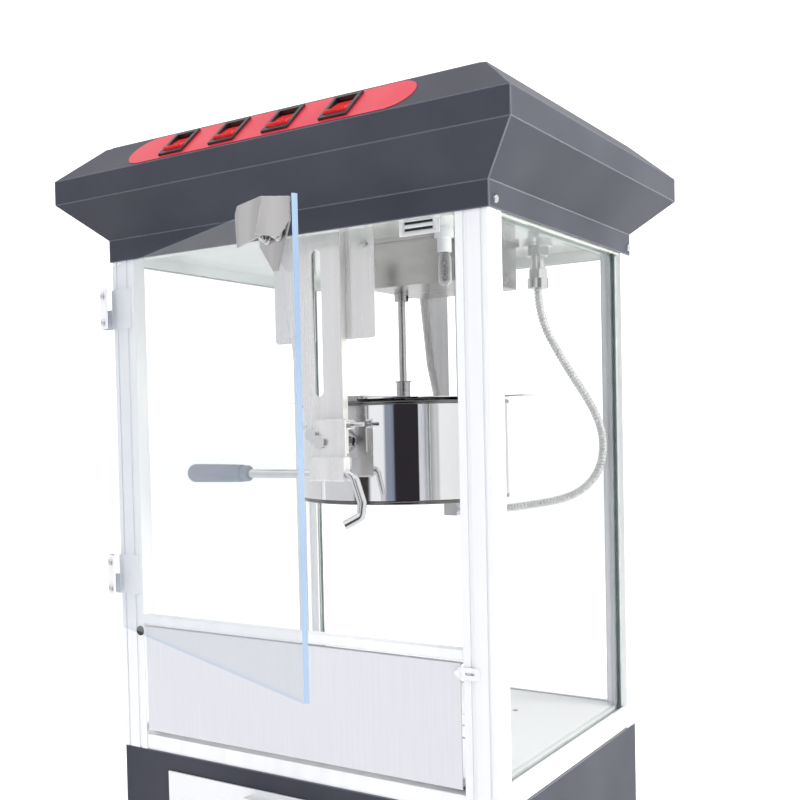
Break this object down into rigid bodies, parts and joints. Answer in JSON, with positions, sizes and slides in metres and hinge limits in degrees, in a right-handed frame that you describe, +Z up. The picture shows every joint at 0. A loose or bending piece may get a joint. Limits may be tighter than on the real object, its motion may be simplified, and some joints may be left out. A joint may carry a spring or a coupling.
{
  "type": "popcorn maker",
  "caption": "Countertop popcorn machine: clear cabinet on a dark base, flared dark canopy with red rocker switches, tilting steel kettle, swinging front door, drop panel and crumb drawer.",
  "frame": {"origin": "centre of the base housing's underside; the rubber feet stand 14 mm below it", "axes": "+X to the operator's right, +Y to the rear, +Z up"},
  "size_m": [0.525, 0.6057, 0.7875],
  "materials": {
    "coated_steel": "satin",
    "top_steel": "satin",
    "zinc_screws": "polished",
    "black_plastic": "matte",
    "black_rubber": "matte",
    "brushed_steel": "brushed",
    "anodised": "satin",
    "acrylic": "clear",
    "red_label": "gloss",
    "red_plastic": "gloss",
    "motor_cast": "satin",
    "machined_steel": "satin",
    "mirror_steel": "polished",
    "grip_plastic": "satin",
    "white_ceramic": "gloss",
    "lamp_glass": "clear",
    "plated_fittings": "polished",
    "armour": "satin"
  },
  "bodies": {
    "frame": {"canopy_front": "coated_steel", "canopy_rear": "coated_steel", "canopy_left": "coated_steel", "canopy_right": "coated_steel", "base_shell": "coated_steel", "canopy_top": "top_steel", "canopy_screws": "zinc_screws", "hanger_bolts": "zinc_screws", "power_inlet": "black_plastic", "switch_bezels": "black_plastic", "rubber_feet": "black_rubber", "pane_seals": "black_rubber", "door_buffer": "black_rubber", "floor_deck": "brushed_steel", "ceiling_plate": "brushed_steel", "drive_box": "brushed_steel", "hanger_front": "brushed_steel", "hanger_rear": "brushed_steel", "hanger_plates": "brushed_steel", "post_front_left": "anodised", "post_front_right": "anodised", "post_rear_left": "anodised", "post_rear_right": "anodised", "top_rails": "anodised", "bottom_rails": "anodised", "front_sill": "anodised", "side_panes": "acrylic", "rear_pane": "acrylic", "control_label": "red_label", "gear_motor": "motor_cast", "post_hinge_leaves": "mirror_steel", "lamp_holder": "white_ceramic", "lamp_bulb": "lamp_glass", "conduit_socket": "plated_fittings", "conduit": "armour"},
    "kettle": {"kettle_pot": "mirror_steel", "kettle_base": "mirror_steel", "kettle_heater": "machined_steel", "kettle_gland": "plated_fittings", "kettle_crossbar": "mirror_steel", "trunnion_pins": "mirror_steel", "handle_bracket": "mirror_steel", "handle_rod": "mirror_steel", "handle_grip": "grip_plastic"},
    "lid_left_half": {"lid_left": "mirror_steel"},
    "lid_right_half": {"lid_right": "mirror_steel"},
    "stirrer_assembly": {"drive_shaft": "machined_steel", "stirrer": "brushed_steel"},
    "dog": {"motor_dog": "machined_steel"},
    "door": {"door_sheet": "acrylic", "door_hinge_leaves": "mirror_steel", "door_handle": "brushed_steel"},
    "drop_panel": {"front_panel": "brushed_steel"},
    "latch": {"latch_clip": "black_plastic"},
    "drawer": {"crumb_drawer": "brushed_steel"},
    "light_switch": {"light_rocker": "red_plastic"},
    "warmer_switch": {"warmer_rocker": "red_plastic"},
    "motor_switch": {"motor_rocker": "red_plastic"},
    "kettle_switch": {"kettle_rocker": "red_plastic"}
  },
  "joints": [
    {"name": "door_swing", "type": "hinge", "parent": "frame", "child": "door", "pos_m": [-0.231, -0.181, 0.45], "axis": [0, 0, -1], "range_deg": [-25, 95]},
    {"name": "panel_drop", "type": "hinge", "parent": "frame", "child": "drop_panel", "pos_m": [0, -0.17, 0.156], "axis": [1, 0, 0], "range_deg": [0, 90]},
    {"name": "latch_slide", "type": "slide", "parent": "drop_panel", "child": "latch", "axis": [-1, 0, 0], "range_m": [0, 0.008]},
    {"name": "drawer_slide", "type": "slide", "parent": "frame", "child": "drawer", "axis": [0, -1, 0], "range_m": [0, 0.2]},
    {"name": "kettle_tilt", "type": "hinge", "parent": "frame", "child": "kettle", "pos_m": [0.0285, 0, 0.456], "axis": [0, -1, 0], "range_deg": [0, 95], "deforming": ["conduit"]},
    {"name": "lid_left_flip", "type": "hinge", "parent": "kettle", "child": "lid_left_half", "pos_m": [0.0245, 0, 0.4985], "axis": [0, 1, 0], "range_deg": [0, 55]},
    {"name": "lid_right_flip", "type": "hinge", "parent": "kettle", "child": "lid_right_half", "pos_m": [0.0425, 0, 0.4985], "axis": [0, -1, 0], "range_deg": [0, 45]},
    {"name": "stirrer_spin", "type": "hinge", "parent": "kettle", "child": "stirrer_assembly", "pos_m": [0.0335, 0, 0.45], "axis": [0, 0, 1], "continuous": true},
    {"name": "motor_spin", "type": "hinge", "parent": "frame", "child": "dog", "pos_m": [0.0335, 0, 0.62], "axis": [0, 0, 1], "continuous": true},
    {"name": "light_press", "type": "hinge", "parent": "frame", "child": "light_switch", "pos_m": [-0.101, -0.195, 0.75227], "axis": [1, 0, 0], "range_deg": [0, 18]},
    {"name": "warmer_press", "type": "hinge", "parent": "frame", "child": "warmer_switch", "pos_m": [-0.037, -0.195, 0.75227], "axis": [1, 0, 0], "range_deg": [0, 18]},
    {"name": "motor_press", "type": "hinge", "parent": "frame", "child": "motor_switch", "pos_m": [0.027, -0.195, 0.75227], "axis": [1, 0, 0], "range_deg": [0, 18]},
    {"name": "kettle_press", "type": "hinge", "parent": "frame", "child": "kettle_switch", "pos_m": [0.091, -0.195, 0.75227], "axis": [1, 0, 0], "range_deg": [0, 18]}
  ],
  "couplings": [
    {"joint": "motor_spin", "follows": "stirrer_spin", "ratio": 1}
  ]
}
